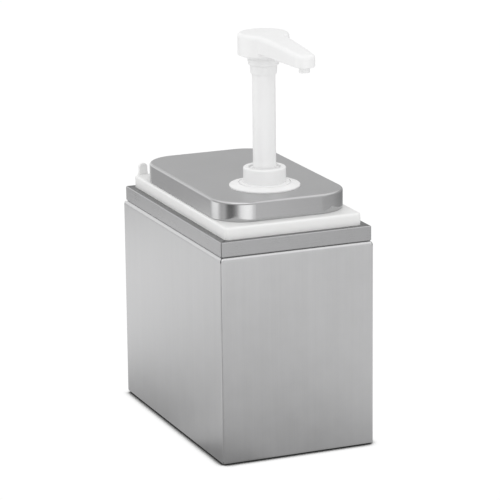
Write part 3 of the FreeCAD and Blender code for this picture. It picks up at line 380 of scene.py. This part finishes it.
def table_tone(tree):
    """How bright the table looks in the steel: painted shade by distance from the housing, and
    painted light round about.
    """
    geometry = tree.node("ShaderNodeNewGeometry").outputs
    split = tree.node("ShaderNodeSeparateXYZ", {0: geometry["Position"]})
    across, along = split.outputs[0], split.outputs[1]
    front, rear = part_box("front_shell")[0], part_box("rear_panel")[1]
    aside = beyond(tree, across, -front[0])
    ahead = beyond(tree, along, (rear[1] - front[1]) / 2)
    away = distance(tree, tree.math("MULTIPLY", aside, SIDEWAYS), ahead)
    angle = tree.math("ARCTAN2", along, across)
    # Painted shade on the mirrored table, deepest next to the housing.
    near = tree.math("MULTIPLY", ramp(tree, away, NEAR_PAINTED_SHADE),
                     compass_ramp(tree, angle, ROUND_THE_FOOT))
    around = compass_ramp(tree, angle, ROUND_THE_TABLE)
    far = tree.remap(distance(tree, across, along), *TABLE_EDGE, 0.0, 1.0)
    return tree.blend(far, near, around)


def make_floor():
    """A pale floor with a painted contact shadow, which polished metal mirrors as a studio table
    with painted shade round the housing and a darker edge.
    """
    mesh = bpy.data.meshes.new("floor")
    corners = [(-FLOOR_REACH, -FLOOR_REACH, 0), (FLOOR_REACH, -FLOOR_REACH, 0),
               (FLOOR_REACH, FLOOR_REACH, 0), (-FLOOR_REACH, FLOOR_REACH, 0)]
    mesh.from_pydata(corners, [], [(0, 1, 2, 3)])
    floor = bpy.data.objects.new("floor", mesh)
    scene.collection.objects.link(floor)
    material, tree = new_material("floor_pale")
    path = tree.node("ShaderNodeLightPath").outputs
    tone = tree.soft(tree.noise([2.0] * 3, 2.0), 0.99, 1.0)
    paper = tree.node("ShaderNodeBsdfDiffuse", {"Color": tree.shade(FLOOR_PAPER, tone)})
    lift = tree.glow(FLOOR_LIFT)
    lit = tree.node("ShaderNodeAddShader", {0: paper.outputs[0], 1: lift.outputs[0]})
    open_sky = tree.node("ShaderNodeAmbientOcclusion", {"Distance": CONTACT_SHADOW},
                         samples=CONTACT_SAMPLES)
    # Painted contact shadow: the floor's glow for the camera dims where the object shuts out the sky
    # nearby.
    seen = tree.glow(ramp(tree, open_sky.outputs["AO"], CONTACT_TONES))
    lit = tree.node("ShaderNodeMixShader", {0: path["Is Camera Ray"], 1: lit.outputs[0],
                                            2: seen.outputs[0]})
    mirrored = tree.glow(table_tone(tree))
    shown = tree.node("ShaderNodeMixShader", {0: path["Is Glossy Ray"], 1: lit.outputs[0],
                                              2: mirrored.outputs[0]})
    output = tree.node("ShaderNodeOutputMaterial")
    tree.tree.links.new(shown.outputs[0], output.inputs["Surface"])
    floor.data.materials.append(material)


def make_world():
    """A studio round the object: brighter overhead than near the floor."""
    world = bpy.data.worlds.new("studio")
    world.use_nodes = True
    scene.world = world
    tree = Tree(world.node_tree)
    place = tree.node("ShaderNodeTexCoord").outputs["Generated"]
    split = tree.node("ShaderNodeSeparateXYZ", {0: place}).outputs
    angle = tree.math("ARCTAN2", split[1], split[0])
    low_sky = compass_ramp(tree, angle, LOW_SKY)
    high_sky = ramp(tree, split[2], HIGH_SKY)
    mirrored = tree.blend(tree.remap(split[2], *SKY_EDGE, 0.0, 1.0), low_sky, high_sky)
    path = tree.node("ShaderNodeLightPath").outputs
    strength = tree.blend(path["Is Glossy Ray"], 1.0, mirrored)
    background = tree.node("ShaderNodeBackground", {"Color": WHITE, "Strength": strength})
    output = tree.node("ShaderNodeOutputWorld")
    tree.tree.links.new(background.outputs[0], output.inputs["Surface"])


def softbox(name, place, target, width, height, power):
    """A large soft light that faces a point."""
    light = bpy.data.lights.new(name, "AREA")
    light.shape = "RECTANGLE"
    light.size, light.size_y = width, height
    light.energy = power
    lamp = bpy.data.objects.new(name, light)
    lamp.location = place
    aim = Vector(target) - Vector(place)
    lamp.rotation_euler = aim.to_track_quat("-Z", "Y").to_euler()
    scene.collection.objects.link(lamp)


# The camera stands about 2.45 m off, a little to the left of the front and above.
CAMERA_AZIMUTH = math.radians(-22.743)
CAMERA_ELEVATION = math.radians(14.779)
CAMERA_ROLL = math.radians(-0.61)
CAMERA_DISTANCE = 2.4489
CAMERA_ASIDE = (0.0024, 0.1451)
LENS = 202.92
SENSOR = 36.0


def make_camera():
    """The camera, turned about its line of sight by the roll."""
    azimuth, elevation, roll = CAMERA_AZIMUTH, CAMERA_ELEVATION, CAMERA_ROLL
    back = Vector((math.sin(azimuth) * math.cos(elevation),
                   -math.cos(azimuth) * math.cos(elevation), math.sin(elevation)))
    level = Vector((math.cos(azimuth), math.sin(azimuth), 0))
    upright = back.cross(level)
    right = math.cos(roll) * level + math.sin(roll) * upright
    up = math.cos(roll) * upright - math.sin(roll) * level
    place = back * CAMERA_DISTANCE + right * CAMERA_ASIDE[0] + up * CAMERA_ASIDE[1]
    data = bpy.data.cameras.new("camera")
    data.sensor_width, data.lens = SENSOR, LENS
    data.clip_end = 50.0
    camera = bpy.data.objects.new("camera", data)
    camera.matrix_world = Matrix.Translation(place) @ Matrix((right, up, back)).transposed().to_4x4()
    scene.collection.objects.link(camera)
    scene.camera = camera


make_floor()
make_world()
softbox("overhead", place=(-0.6, -0.9, 2.0), target=(0, 0, 0.2), width=1.6, height=1.2, power=3.0)
make_camera()
